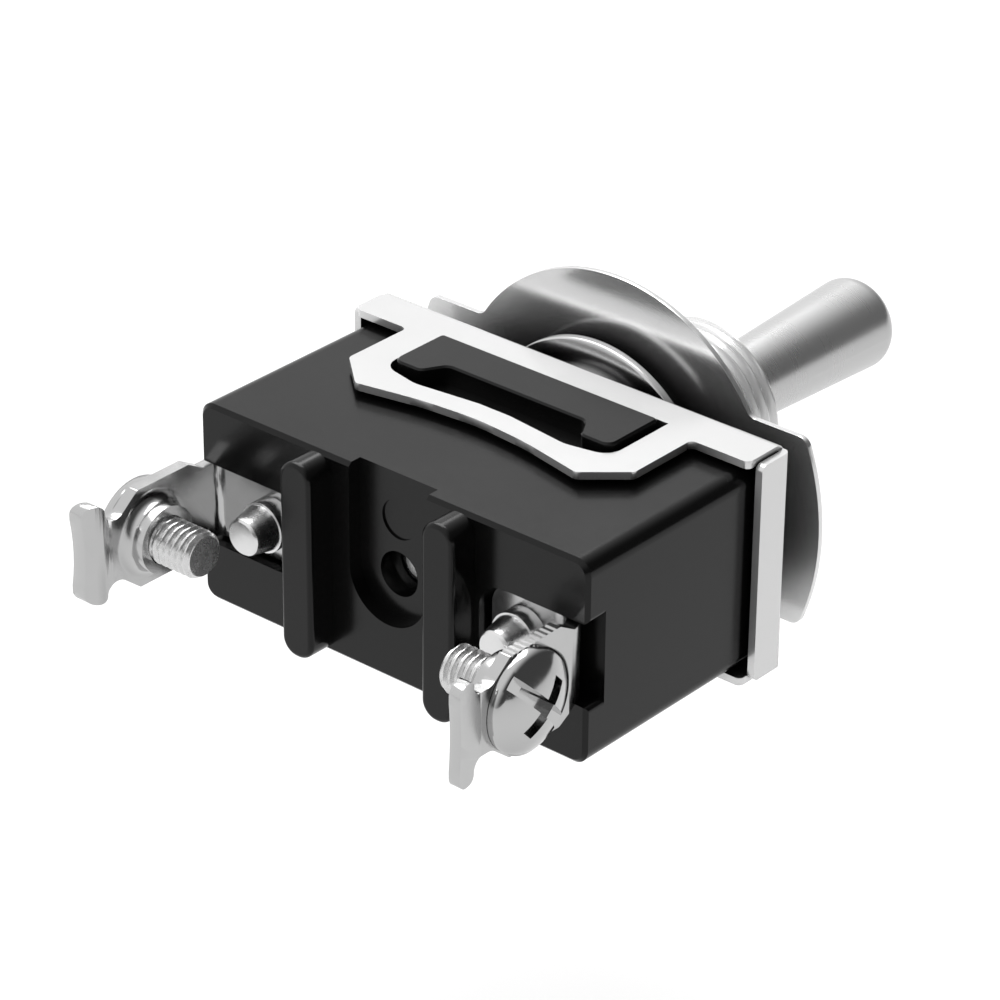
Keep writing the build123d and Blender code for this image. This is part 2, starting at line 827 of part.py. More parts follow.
# Terminals
def terminal(outer: float, fold: float, lip_angle: float, length: float, axis_level: float) -> Part:
    """Right-hand terminal: foot, tab with its collar, and the bent lip with two ears."""
    inner = outer - terminal_sheet
    bend_level = foot_face - lip_bend
    lean = radians(lip_angle)
    lip_x = outer + length * sin(lean)
    lip_level = bend_level - length * cos(lean)
    mitre = terminal_sheet * tan(lean / 2)
    tip_level = bend_level - (length - lip_bend) * cos(lean)
    with BuildPart() as strip_part:
        with BuildSketch(Plane.XY):
            with BuildLine():
                FilletPolyline(
                    (terminal_inner_end, pocket_floor),
                    (outer, pocket_floor),
                    (outer, bend_level),
                    (lip_x, lip_level),
                    (lip_x - terminal_sheet * cos(lean), lip_level - terminal_sheet * sin(lean)),
                    (inner, bend_level - mitre),
                    (inner, foot_face),
                    (terminal_inner_end, foot_face),
                    radius=[
                        0,
                        fold + terminal_sheet,
                        lip_bend_radius,
                        0,
                        0,
                        lip_bend_radius + terminal_sheet,
                        fold,
                        0,
                    ],
                    close=True,
                )
            make_face()
        extrude(amount=ear_half_width, both=True)
        half = [
            (ear_half_width, tip_level),
            (ear_half_width, tip_level + ear_width * cos(lean)),
            (neck_half_width, tip_level + ear_width * cos(lean)),
            (neck_half_width, foot_face - taper_end),
            (terminal_half_width, foot_face - taper_start),
            (terminal_half_width, foot_face - shoulder_end),
            (terminal_foot_half_width, foot_face - shoulder_start),
            (terminal_foot_half_width, pocket_floor),
        ]
        radii = [
            ear_outer_corner,
            ear_inner_corner,
            neck_ear_corner,
            neck_tab_corner,
            taper_corner,
            taper_corner,
            taper_corner,
            0,
        ]
        with BuildSketch(Plane(origin=(0, 0, 0), x_dir=(0, 0, 1), z_dir=(-1, 0, 0))):
            with BuildLine():
                FilletPolyline(*both_halves(half), radius=both_halves(radii), close=True)
            make_face()
            with Locations((0, tip_level - tip_radius + tip_hollow)):
                Circle(tip_radius, mode=Mode.SUBTRACT)
        extrude(amount=-2 * outer, mode=Mode.INTERSECT)
        foot_corners = strip_part.edges().filter_by(Axis.Y).group_by(Axis.X)[0]
        fillet(foot_corners, terminal_foot_corner)

        # Extruded collar, tapped for the screw
        flare_middle = collar_flare * sin(radians(45))
        with BuildSketch(Plane(origin=(0, axis_level, 0))):
            with BuildLine():
                Polyline(
                    (inner + terminal_sheet / 2, 0),
                    (inner - collar_height, 0),
                    (inner - collar_height, collar_radius),
                    (inner - collar_flare, collar_radius),
                )
                ThreePointArc(
                    (inner - collar_flare, collar_radius),
                    (inner - collar_flare + flare_middle, collar_radius + collar_flare - flare_middle),
                    (inner, collar_radius + collar_flare),
                )
                Polyline(
                    (inner, collar_radius + collar_flare),
                    (inner + terminal_sheet / 2, collar_radius + collar_flare),
                    (inner + terminal_sheet / 2, 0),
                )
            make_face()
        revolve(axis=Axis((0, axis_level, 0), (1, 0, 0)))
        with BuildSketch(Plane.YZ.offset(inner - collar_height)):
            with Locations((axis_level, 0)):
                Circle(screw_radius + screw_fit)
        extrude(amount=collar_height + terminal_sheet, mode=Mode.SUBTRACT)
        with BuildSketch(across(pocket_floor)):
            with Locations((rivet_offset, 0)):
                Circle(rivet_radius)
        extrude(amount=terminal_sheet, mode=Mode.SUBTRACT)
    return strip_part.part


right_screw_level = foot_face - right_screw_axis
left_screw_level = foot_face - left_screw_axis
with BuildPart() as terminal_right:
    add(terminal(right_outer, right_fold, right_lip_angle, right_length, right_screw_level))
    with BuildSketch(Plane.YZ.offset(right_outer)):
        for notch in range(serrations):
            with Locations((foot_face - serration_start - notch * serration_pitch, terminal_half_width)):
                Rectangle(serration_depth * sqrt(2), serration_depth * sqrt(2), rotation=45)
    extrude(amount=-terminal_sheet, mode=Mode.SUBTRACT)
terminal_right.part.label = "terminal_right"
export_step(terminal_right.part, "parts/terminal_right.step")

with BuildPart() as terminal_left:
    add(terminal(left_outer, left_fold, left_lip_angle, left_length, left_screw_level))
    mirror(about=Plane.YZ, mode=Mode.REPLACE)
terminal_left.part.label = "terminal_left"
export_step(terminal_left.part, "parts/terminal_left.step")


# Terminal screws
def terminal_screw(outer: float, axis_level: float) -> Part:
    """Right-hand screw with a pan head, a slot and a cross."""
    seat = outer + screw_seat_gap
    end = seat - screw_length
    head_top = seat + screw_rim + screw_dome
    dome_arc = (screw_head_radius**2 + screw_dome**2) / (2 * screw_dome)
    with BuildPart() as screw:
        with BuildSketch(Plane(origin=(0, axis_level, 0))):
            with BuildLine():
                Polyline(
                    (end, 0),
                    (end, screw_radius - screw_end_chamfer),
                    (end + screw_end_chamfer, screw_radius),
                    (seat, screw_radius),
                    (seat, screw_head_radius),
                    (seat + screw_rim, screw_head_radius),
                )
                RadiusArc((seat + screw_rim, screw_head_radius), (head_top, 0), dome_arc)
                Line((head_top, 0), (end, 0))
            make_face()
        revolve(axis=Axis((0, axis_level, 0), (1, 0, 0)))
        with BuildSketch(Plane.YZ.offset(head_top)):
            with Locations((axis_level, 0)):
                Rectangle(2 * screw_head_radius + screw_rim, slot_width, rotation=drive_angle)
        extrude(amount=-slot_depth, mode=Mode.SUBTRACT)
        with BuildSketch(Plane.YZ.offset(head_top)):
            with Locations((axis_level, 0)):
                Rectangle(cross_length, cross_width, rotation=drive_angle)
                Rectangle(cross_width, cross_length, rotation=drive_angle)
        extrude(amount=-cross_depth, mode=Mode.SUBTRACT)
    return screw.part


with BuildPart() as terminal_screw_right:
    add(terminal_screw(right_outer, right_screw_level))
terminal_screw_right.part.label = "terminal_screw_right"
export_step(terminal_screw_right.part, "parts/terminal_screw_right.step")

with BuildPart() as terminal_screw_left:
    add(terminal_screw(left_outer, left_screw_level))
    mirror(about=Plane.YZ, mode=Mode.REPLACE)
terminal_screw_left.part.label = "terminal_screw_left"
export_step(terminal_screw_left.part, "parts/terminal_screw_left.step")
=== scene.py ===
"""Looks of the panel toggle switch.

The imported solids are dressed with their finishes, the bushing and the terminal screws get
their threads, and a plain studio with the photograph's camera is set round them.
"""

import logging
import math
from dataclasses import dataclass
from enum import Enum
from typing import Callable

import bmesh
import bpy
from mathutils import Matrix, Vector


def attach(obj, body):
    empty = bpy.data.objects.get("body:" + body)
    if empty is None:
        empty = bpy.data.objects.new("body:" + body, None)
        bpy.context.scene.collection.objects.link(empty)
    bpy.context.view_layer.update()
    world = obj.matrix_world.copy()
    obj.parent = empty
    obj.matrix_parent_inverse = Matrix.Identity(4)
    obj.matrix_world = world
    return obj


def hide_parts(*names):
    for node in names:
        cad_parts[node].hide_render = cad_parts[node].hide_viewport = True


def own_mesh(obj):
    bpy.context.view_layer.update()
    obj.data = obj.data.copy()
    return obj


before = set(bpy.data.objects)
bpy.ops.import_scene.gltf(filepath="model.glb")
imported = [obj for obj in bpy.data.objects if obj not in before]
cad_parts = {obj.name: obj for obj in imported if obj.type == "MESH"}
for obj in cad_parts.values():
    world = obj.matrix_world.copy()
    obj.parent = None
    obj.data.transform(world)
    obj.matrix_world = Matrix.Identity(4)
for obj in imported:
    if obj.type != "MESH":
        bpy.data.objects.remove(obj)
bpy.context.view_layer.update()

LOG = logging.getLogger("switch")

MM = 0.001
# Points nearer to one another than this are one point
WELD_GAP = 0.0005 * MM
# Faces of a lathed piece that meet at more than this many degrees keep a hard edge
HARD_EDGE = 35.0

# Two noises added together run mostly between these
NOISE_SPAN = (0.6, 1.4)
# Share of open space over a point at which the painted gap shade is fully dark, and from which
# there is none
OPEN_SPAN = (0.3, 0.7)
# Painted shade: the colour metal is painted in a gap, standing in for the shade that falls
# there
PAINTED_GAP_SHADE = "#3C3C3C"

Point = tuple[float, float, float]
Ring = list[Point]


def linear(code: str) -> tuple[float, float, float, float]:
    """Turns an sRGB hex colour into the linear colour a shader takes.

    Args:
        code: colour such as "#C8C8C8".

    Returns:
        Linear red, green, blue and an alpha of one.
    """
    parts = [int(code[i : i + 2], 16) / 255 for i in (1, 3, 5)]
    r, g, b = (c / 12.92 if c <= 0.04045 else ((c + 0.055) / 1.055) ** 2.4 for c in parts)
    return r, g, b, 1.0


def add_node(
    tree: bpy.types.NodeTree, kind: str, inputs: dict | None = None, **settings: object
) -> bpy.types.Node:
    """Adds one shader node with its settings, values and links.

    Args:
        tree: node tree that gets the node.
        kind: Blender's type name of the node.
        inputs: socket name or index to a value, or to the output socket it is linked from.
        settings: properties of the node itself.

    Returns:
        The new node.
    """
    node = tree.nodes.new(kind)
    for key, value in settings.items():
        setattr(node, key, value)
    for key, value in (inputs or {}).items():
        if isinstance(value, bpy.types.NodeSocket):
            tree.links.new(value, node.inputs[key])
        else:
            node.inputs[key].default_value = value
    return node


def add_object(name: str, data: bpy.types.ID) -> bpy.types.Object:
    """Adds an object to the scene.

    Args:
        name: name of the object.
        data: its mesh, light or camera.

    Returns:
        The new object.
    """
    made = bpy.data.objects.new(name, data)
    bpy.context.scene.collection.objects.link(made)
    return made


class Grain(Enum):
    """How a surface was made, which sets the direction of its fine marks."""

    MOULDED = "moulded"
    ROLLED = "rolled"
    TURNED = "turned"
    PLATED = "plated"


@dataclass(frozen=True)
class Finish:
    """One real finish: a base material, its colour and the marks that its making leaves.

    grain_mm is the size of the marks, bump_mm their height, and spread how far they move the
    roughness. mottle_mm is the size of broad, soft unevenness, and gap_shade_mm how near
    another surface has to stand for shade to be painted into the metal's colour.
    """

    name: str
    colour: str
    metallic: float
    roughness: float
    grain: Grain
    grain_mm: float
    spread: float
    bump_mm: float = 0.0
    mottle_mm: float = 4.0
    specular: float = 0.5
    gap_shade_mm: float = 0.0

    def material(self) -> bpy.types.Material:
        """Builds the finish as a procedural material, once.

        Returns:
            The material of this name.
        """
        found = bpy.data.materials.get(self.name)
        if found:
            return found
        made = bpy.data.materials.new(self.name)
        made.use_nodes = True
        tree = made.node_tree
        tree.nodes.clear()
        place = add_node(tree, "ShaderNodeTexCoord").outputs["Object"]
        marks = self._marks(tree, place)
        mottle = add_node(
            tree,
            "ShaderNodeTexNoise",
            {"Vector": place, "Scale": 1 / (self.mottle_mm * MM), "Detail": 2.0},
        )
        blend = add_node(
            tree,
            "ShaderNodeMath",
            {0: marks.outputs["Fac"], 1: mottle.outputs["Fac"]},
            operation="ADD",
        )
        rough = add_node(
            tree,
            "ShaderNodeMapRange",
            {
                "Value": blend.outputs[0],
                "From Min": NOISE_SPAN[0],
                "From Max": NOISE_SPAN[1],
                "To Min": self.roughness - self.spread,
                "To Max": self.roughness + self.spread,
            },
        )
        bump = add_node(
            tree,
            "ShaderNodeBump",
            {"Height": marks.outputs["Fac"], "Distance": self.bump_mm * MM, "Strength": 1.0},
        )
        shader = add_node(
            tree,
            "ShaderNodeBsdfPrincipled",
            {
                # Where another surface stands close, shade is painted into the base colour
                "Base Color": self._painted_gap_shade(tree) if self.gap_shade_mm else linear(self.colour),
                "Metallic": self.metallic,
                "Roughness": rough.outputs[0],
                "Specular IOR Level": self.specular,
                "Normal": bump.outputs[0],
            },
        )
        add_node(tree, "ShaderNodeOutputMaterial", {"Surface": shader.outputs[0]})
        made.diffuse_color = linear(self.colour)
        return made

    def _marks(self, tree: bpy.types.NodeTree, place: bpy.types.NodeSocket) -> bpy.types.Node:
        """Adds the fine marks of the finish.

        Args:
            tree: the material's node tree.
            place: socket of the point in the part's frame.

        Returns:
            A noise node whose Fac output carries the marks.
        """
        if self.grain is Grain.TURNED:
            # Tool marks run round the bushing's axis, so they change only along it
            split = add_node(tree, "ShaderNodeSeparateXYZ", {"Vector": place})
            place = add_node(tree, "ShaderNodeCombineXYZ", {"Y": split.outputs["Y"]}).outputs[0]
        elif self.grain is Grain.ROLLED:
            # The mill draws the marks out along X
            place = add_node(
                tree, "ShaderNodeMapping", {"Vector": place, "Scale": (0.06, 1.0, 1.0)}
            ).outputs[0]
        return add_node(
            tree,
            "ShaderNodeTexNoise",
            {"Vector": place, "Scale": 1 / (self.grain_mm * MM), "Detail": 3.0},
        )

    def _painted_gap_shade(self, tree: bpy.types.NodeTree) -> bpy.types.NodeSocket:
        """Darkens the colour where another surface stands close by.

        Args:
            tree: the material's node tree.

        Returns:
            A colour socket.
        """
        # Painted shade: the colour runs towards the shade colour where ambient occlusion finds
        # surfaces close by
        near = add_node(
            tree, "ShaderNodeAmbientOcclusion", {"Distance": self.gap_shade_mm * MM}, samples=8
        )
        unshaded = add_node(
            tree,
            "ShaderNodeMapRange",
            {"Value": near.outputs["AO"], "From Min": OPEN_SPAN[0], "From Max": OPEN_SPAN[1]},
        )
        mix = add_node(
            tree,
            "ShaderNodeMix",
            {0: unshaded.outputs[0], 6: linear(PAINTED_GAP_SHADE), 7: linear(self.colour)},
            data_type="RGBA",
        )
        return mix.outputs[2]


# Plating grain, turning lines and the mould's polish are finer than the render can show, so
# each grain size below is as coarse as it needs to be to show.

# Phenolic, compression moulded: near black, its grey comes from the gloss of a polished mould
PHENOLIC = Finish(
    "phenolic_moulded",
    "#0B0B0B",
    metallic=0.0,
    roughness=0.2,
    grain=Grain.MOULDED,
    grain_mm=0.4,
    spread=0.03,
    bump_mm=0.0006,
    mottle_mm=6.0,
    specular=0.26,
)
# Sheet steel, rolled, folded and dull nickel plated: pale and even, with soft reflections, and
# shade painted darker where another surface stands close
BRACKET_NICKEL = Finish(
    "steel_rolled_nickel_plated",
    "#E0E0E0",
    metallic=0.65,
    roughness=0.18,
    grain=Grain.PLATED,
    grain_mm=0.8,
    spread=0.02,
    gap_shade_mm=6.0,
)
# Brass, turned and nickel plated: hard bright rims, with shade painted darker in the gap behind
# the plate
TURNED_NICKEL = Finish(
    "brass_turned_nickel_plated",
    "#D2D2D2",
    metallic=1.0,
    roughness=0.24,
    grain=Grain.TURNED,
    grain_mm=0.15,
    spread=0.03,
    gap_shade_mm=9.0,
)
# The same brass with its cut thread: paler and duller than the turned faces
THREAD_BRASS = Finish(
    "brass_thread_cut_nickel_plated",
    "#F2F2F2",
    metallic=0.72,
    roughness=0.26,
    grain=Grain.TURNED,
    grain_mm=0.15,
    spread=0.04,
)
# Sheet steel, punched and nickel plated: blurred reflections, with shade painted dark close to
# the bracket
PLATE_NICKEL = Finish(
    "steel_punched_nickel_plated",
    "#E6E6E6",
    metallic=0.85,
    roughness=0.17,
    grain=Grain.PLATED,
    grain_mm=0.8,
    spread=0.02,
    gap_shade_mm=4.5,
)
# Brass bar, turned, tumbled and nickel plated: satin, with broad soft reflections
LEVER_NICKEL = Finish(
    "brass_tumbled_nickel_plated",
    "#C8C8C8",
    metallic=0.8,
    roughness=0.28,
    grain=Grain.TURNED,
    grain_mm=0.3,
    spread=0.02,
)
# Brass strip, pressed and nickel plated: bright with faint tool marks
TERMINAL_NICKEL = Finish(
    "strip_pressed_nickel_plated",
    "#BEBEBE",
    metallic=1.0,
    roughness=0.2,
    grain=Grain.PLATED,
    grain_mm=0.6,
    spread=0.05,
    mottle_mm=2.0,
)
# Steel wire, cold headed and nickel plated: bright heads with hard reflections
SCREW_NICKEL = Finish(
    "steel_headed_nickel_plated",
    "#BEBEBE",
    metallic=1.0,
    roughness=0.13,
    grain=Grain.PLATED,
    grain_mm=0.5,
    spread=0.05,
    bump_mm=0.001,
    mottle_mm=1.5,
)
# The same wire with its rolled thread: paler and duller than the head
THREAD_NICKEL = Finish(
    "steel_thread_rolled_nickel_plated",
    "#DEDEDE",
    metallic=0.82,
    roughness=0.26,
    grain=Grain.PLATED,
    grain_mm=0.2,
    spread=0.06,
    mottle_mm=0.8,
)
# Soft steel wire, upset cold and plated: duller ends
RIVET_NICKEL = Finish(
    "wire_upset_nickel_plated",
    "#E2E2E2",
    metallic=1.0,
    roughness=0.25,
    grain=Grain.PLATED,
    grain_mm=0.3,
    spread=0.04,
    mottle_mm=1.5,
)
# Vulcanised fibre, calendered: matt dark red sheet
FIBRE = Finish(
    "vulcanised_fibre_calendered",
    "#5A1F18",
    metallic=0.0,
    roughness=0.7,
    grain=Grain.ROLLED,
    grain_mm=0.2,
    spread=0.05,
    bump_mm=0.002,
)
# Polyamide, injection moulded: waxy off-white
POLYAMIDE = Finish(
    "polyamide_moulded",
    "#E6E0D0",
    metallic=0.0,
    roughness=0.45,
    grain=Grain.MOULDED,
    grain_mm=0.4,
    spread=0.03,
    bump_mm=0.001,
)
# Spring wire, drawn: grey with a dull shine
SPRING_WIRE = Finish(
    "spring_wire_drawn",
    "#8C8C8A",
    metallic=1.0,
    roughness=0.32,
    grain=Grain.PLATED,
    grain_mm=0.2,
    spread=0.04,
    bump_mm=0.001,
)
# Brass strip, stamped: warm yellow metal
BRASS = Finish(
    "brass_stamped",
    "#D6A95B",
    metallic=1.0,
    roughness=0.34,
    grain=Grain.ROLLED,
    grain_mm=0.2,
    spread=0.05,
    bump_mm=0.001,
)
# Silver alloy, pressed: pale soft shine
SILVER = Finish(
    "silver_alloy_pressed",
    "#E4E2DC",
    metallic=1.0,
    roughness=0.28,
    grain=Grain.PLATED,
    grain_mm=0.2,
    spread=0.04,
    bump_mm=0.001,
)


@dataclass
class Dresser:
    """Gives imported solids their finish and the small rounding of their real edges."""

    sharp_degrees: float = 28.0

    def dress(self, node: str, finish: Finish, edge_mm: float = 0.0) -> bpy.types.Object:
        """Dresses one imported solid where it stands.

        Args:
            node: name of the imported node.
            finish: its finish.
            edge_mm: width of the rounding on its sharp edges, or none.

        Returns:
            The dressed object.
        """
        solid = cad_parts[node]
        solid.data.materials.clear()
        solid.data.materials.append(finish.material())
        if edge_mm:
            weld = solid.modifiers.new("weld", "WELD")
            weld.merge_threshold = WELD_GAP
            rounding = solid.modifiers.new("edge_rounding", "BEVEL")
            rounding.width = edge_mm * MM
            rounding.segments = 2
            rounding.limit_method = "ANGLE"
            rounding.angle_limit = math.radians(self.sharp_degrees)
            rounding.harden_normals = True
        LOG.info("dressed %s with %s", node, finish.name)
        return solid


@dataclass
class Thread:
    """A helical thread on a round bar, drawn as one grid of points.

    Sizes are in millimetres, and the bar runs along a local axis from start to end. root_half,
    half the width of the flat root, and flank, the width of one flank, are shares of the pitch.
    """

    radius: float
    pitch: float
    depth: float
    start: float
    end: float
    chamfer_start: float = 0.0
    chamfer_end: float = 0.0
    root_half: float = 0.08
    flank: float = 0.34
    around: int = 72
    per_pitch: int = 10

    def radius_at(self, along: float, turn: float) -> float:
        """Radius of the thread's surface.

        Args:
            along: distance along the bar, in millimetres.
            turn: share of a turn round the bar, from 0 to 1.

        Returns:
            The radius in millimetres.
        """
        phase = (along / self.pitch - turn) % 1.0
        rise = min(max((abs(phase - 0.5) - self.root_half) / self.flank, 0.0), 1.0)
        surface = self.radius - self.depth * (1.0 - rise)
        if self.chamfer_end:
            surface = min(surface, self.radius + (self.end - along) - self.chamfer_end)
        if self.chamfer_start:
            surface = min(surface, self.radius + (along - self.start) - self.chamfer_start)
        return surface

    def rings(self) -> list[Ring]:
        """Points of the thread.

        Returns:
            Rings of (along, radius, angle), first to last along the bar.
        """
        steps = max(2, round((self.end - self.start) / self.pitch * self.per_pitch))
        rings = []
        for i in range(steps + 1):
            along = self.start + (self.end - self.start) * i / steps
            rings.append(
                [
                    (along, self.radius_at(along, k / self.around), math.tau * k / self.around)
                    for k in range(self.around)
                ]
            )
        return rings


def plain_ring(along: float, radius: float, around: int) -> Ring:
    """A ring of points of one radius.

    Args:
        along: distance along the axis, in millimetres.
        radius: radius in millimetres.
        around: number of points.

    Returns:
        The ring as (along, radius, angle).
    """
    return [(along, radius, math.tau * k / around) for k in range(around)]


def lathe_mesh(
    name: str,
    rings: list[Ring],
    place: Callable[[float, float, float], Vector],
    closed: bool = True,
) -> bpy.types.Object:
    """Makes a mesh from rings of points round an axis.

    Args:
        name: name of the object.
        rings: rings of (along, radius, angle) with the same number of points each.
        place: turns (along, radius, angle) in millimetres into a point of the part's frame.
        closed: whether the first and last ring are capped, or else joined to one another.

    Returns:
        The new object, in the scene.
    """
    mesh = bpy.data.meshes.new(name)
    work = bmesh.new()
    rows = [[work.verts.new(place(*point)) for point in ring] for ring in rings]
    for low, high in zip(rows, rows[1:]):
        for k in range(len(low)):
            following = (k + 1) % len(low)
            work.faces.new((low[k], low[following], high[following], high[k]))
    if closed:
        work.faces.new(rows[0][::-1])
        work.faces.new(rows[-1])
    else:
        bmesh.ops.remove_doubles(work, verts=work.verts, dist=WELD_GAP)
    bmesh.ops.recalc_face_normals(work, faces=work.faces)
    work.to_mesh(mesh)
    work.free()
    for polygon in mesh.polygons:
        polygon.use_smooth = True
    mesh.set_sharp_from_angle(angle=math.radians(HARD_EDGE))
    return add_object(name, mesh)


@dataclass
class Housing:
    """The moulded case, the folded bracket over its mouth and the sheet between them."""

    fold_edge: float = 0.08

    def build(self, dresser: Dresser) -> None:
        """Dresses the case, the bracket and the sheet.

        Args:
            dresser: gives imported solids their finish.
        """
        dresser.dress("case", PHENOLIC)
        dresser.dress("bracket", BRACKET_NICKEL, self.fold_edge)
        dresser.dress("insulating_sheet", FIBRE)


@dataclass
class Bushing:
    """The threaded bushing with its shoulder, the lock ring and the indicator plate.

    Sizes are in millimetres, and places along the axis count from the plate's front face.
    slot is the opening in the spigot, and ball_bore the bore from bore_floor to the lever's
    pivot. mouth_edge gives the mouth's rounded edge: how deep, and how much wider.
    """

    crest: float = 5.9
    pitch: float = 0.8
    depth: float = 0.46
    length: float = 9.35
    chamfer: float = 0.4
    relief: float = 5.55
    shoulder_radius: float = 8.4
    shoulder_front: float = -1.5
    shoulder_back: float = -2.15
    rim: float = 0.12
    neck_radius: float = 6.9
    neck_end: float = -3.45
    spigot_radius: float = 6.1
    spigot_end: float = -3.95
    slot: float = 4.2
    ball_bore: float = 2.72
    bore_floor: float = 1.6
    pivot: float = 3.2
    mouth: float = 4.15
    mouth_edge: tuple[tuple[float, float], ...] = ((0.0, 0.35), (0.1, 0.1), (0.3, -0.03))
    around: int = 144
    plate_edge: float = 0.12

    def build(self, dresser: Dresser) -> None:
        """Builds the threaded sleeve and dresses the ring and the plate.

        Args:
            dresser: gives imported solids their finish.
        """
        self._sleeve()
        dresser.dress("lock_ring", TURNED_NICKEL)
        dresser.dress("indicator_plate", PLATE_NICKEL, self.plate_edge)

    def _sleeve(self) -> None:
        """Turns the sleeve: up its outside and the thread, and back down its bore."""
        thread = Thread(
            self.crest,
            self.pitch,
            self.depth,
            0.0,
            self.length,
            chamfer_end=self.chamfer,
            around=self.around,
        )
        outside = [
            (self.spigot_end, self.slot),
            (self.spigot_end, self.spigot_radius),
            (self.neck_end, self.spigot_radius),
            (self.neck_end, self.neck_radius),
            (self.shoulder_back, self.neck_radius),
            (self.shoulder_back, self.shoulder_radius - self.rim),
            (self.shoulder_back + self.rim / 2, self.shoulder_radius - self.rim / 4),
            (self.shoulder_back + self.rim, self.shoulder_radius),
            (self.shoulder_front - self.rim, self.shoulder_radius),
            (self.shoulder_front, self.shoulder_radius - self.rim),
            (self.shoulder_front, self.relief),
            (0.0, self.relief),
        ]
        inside = [(self.length - deep, self.mouth + wider) for deep, wider in self.mouth_edge]
        inside += [
            (self.pivot, self.ball_bore),
            (self.bore_floor, self.ball_bore),
            (self.spigot_end, self.slot),
        ]
        rings = [plain_ring(y, r, self.around) for y, r in outside]
        rings += thread.rings()
        rings += [plain_ring(y, r, self.around) for y, r in inside]
        sleeve = lathe_mesh(
            "bushing_threaded",
            rings,
            lambda y, r, a: Vector((r * math.cos(a), y, r * math.sin(a))) * MM,
            closed=False,
        )
        sleeve.data.materials.append(TURNED_NICKEL.material())
        sleeve.data.materials.append(THREAD_BRASS.material())
        for polygon in sleeve.data.polygons:
            polygon.material_index = int(polygon.center.y > 0)
        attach(sleeve, "body")
        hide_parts("bushing")
        LOG.info("built %s", sleeve.name)


@dataclass
class Handle:
    """The bat lever with its pin, the plunger and its spring."""

    plunger_travel: float = 0.8

    def build(self, dresser: Dresser) -> None:
        """Dresses the lever and what it carries.

        Args:
            dresser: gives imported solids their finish.
        """
        dresser.dress("lever", LEVER_NICKEL)
        dresser.dress("lever_pin", RIVET_NICKEL)
        dresser.dress("plunger", POLYAMIDE)
        self._spring(dresser)

    def _spring(self, dresser: Dresser) -> None:
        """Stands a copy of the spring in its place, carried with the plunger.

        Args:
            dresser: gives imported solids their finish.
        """
        packed = dresser.dress("plunger_spring", SPRING_WIRE)
        coil = add_object("plunger_spring_coil", packed.data.copy())
        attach(coil, "plunger")
        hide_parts("plunger_spring")
        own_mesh(coil)
        LOG.info("built %s", coil.name)


class Side(Enum):
    """Which end of the case a terminal is on, with the sign of its X."""

    LEFT = -1
    RIGHT = 1


@dataclass
class Terminal:
    """One screw terminal: the pressed strip, its rivet and its threaded screw.

    Sizes are in millimetres. screw_level is the screw's Y, and head_seat how far out along X
    the head bears on the strip. head_overlap is how much of the shank the head keeps.
    """

    side: Side
    screw_level: float
    head_seat: float
    head_overlap: float = 0.02
    screw_length: float = 5.2
    shank_radius: float = 1.5
    pitch: float = 0.5
    depth: float = 0.24
    tip_chamfer: float = 0.25
    around: int = 60
    strip_edge: float = 0.06
    rivet_edge: float = 0.05

    def build(self, dresser: Dresser) -> None:
        """Dresses the strip and the rivet, and builds the screw with its thread.

        Args:
            dresser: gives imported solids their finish.
        """
        word = self.side.name.lower()
        dresser.dress(f"terminal_{word}", TERMINAL_NICKEL, self.strip_edge)
        dresser.dress(f"rivet_{word}", RIVET_NICKEL, self.rivet_edge)
        for piece in (self._head(word), self._shank(word)):
            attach(piece, f"screw_{word}")
            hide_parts(f"terminal_screw_{word}")
            LOG.info("built %s", piece.name)

    def _head(self, word: str) -> bpy.types.Object:
        """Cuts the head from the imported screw.

        Args:
            word: left or right, as in the node's name.

        Returns:
            The head.
        """
        sign = self.side.value
        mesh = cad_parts[f"terminal_screw_{word}"].data.copy()
        work = bmesh.new()
        work.from_mesh(mesh)
        bmesh.ops.remove_doubles(work, verts=work.verts, dist=WELD_GAP)
        bmesh.ops.bisect_plane(
            work,
            geom=list(work.verts) + list(work.edges) + list(work.faces),
            plane_co=(sign * (self.head_seat - self.head_overlap) * MM, 0, 0),
            plane_no=(-sign, 0, 0),
            clear_outer=True,
        )
        work.to_mesh(mesh)
        work.free()
        mesh.materials.clear()
        mesh.materials.append(SCREW_NICKEL.material())
        return add_object(f"screw_head_{word}", mesh)

    def _shank(self, word: str) -> bpy.types.Object:
        """Builds the threaded shank.

        Args:
            word: left or right, as in the node's name.

        Returns:
            The shank.
        """
        sign = self.side.value
        thread = Thread(
            self.shank_radius,
            self.pitch,
            self.depth,
            self.head_seat - self.screw_length,
            self.head_seat,
            chamfer_start=self.tip_chamfer,
            around=self.around,
        )
        shank = lathe_mesh(
            f"screw_shank_{word}",
            thread.rings(),
            lambda x, r, a: Vector(
                (sign * x, self.screw_level + r * math.cos(a), r * math.sin(a))
            )
            * MM,
        )
        shank.data.materials.append(THREAD_NICKEL.material())
        return shank


@dataclass
class Mechanism:
    """The rocker, the contacts and what carries them inside the case."""

    brass_nodes: tuple[str, ...] = ("rocker", "fulcrum", "contact_plate")
    silver_nodes: tuple[str, ...] = ("rocker_contact", "fixed_contact")

    def build(self, dresser: Dresser) -> None:
        """Dresses the inner pieces.

        Args:
            dresser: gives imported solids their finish.
        """
        for node in self.brass_nodes:
            dresser.dress(node, BRASS)
        for node in self.silver_nodes:
            dresser.dress(node, SILVER)
        dresser.dress("centre_stud", RIVET_NICKEL)


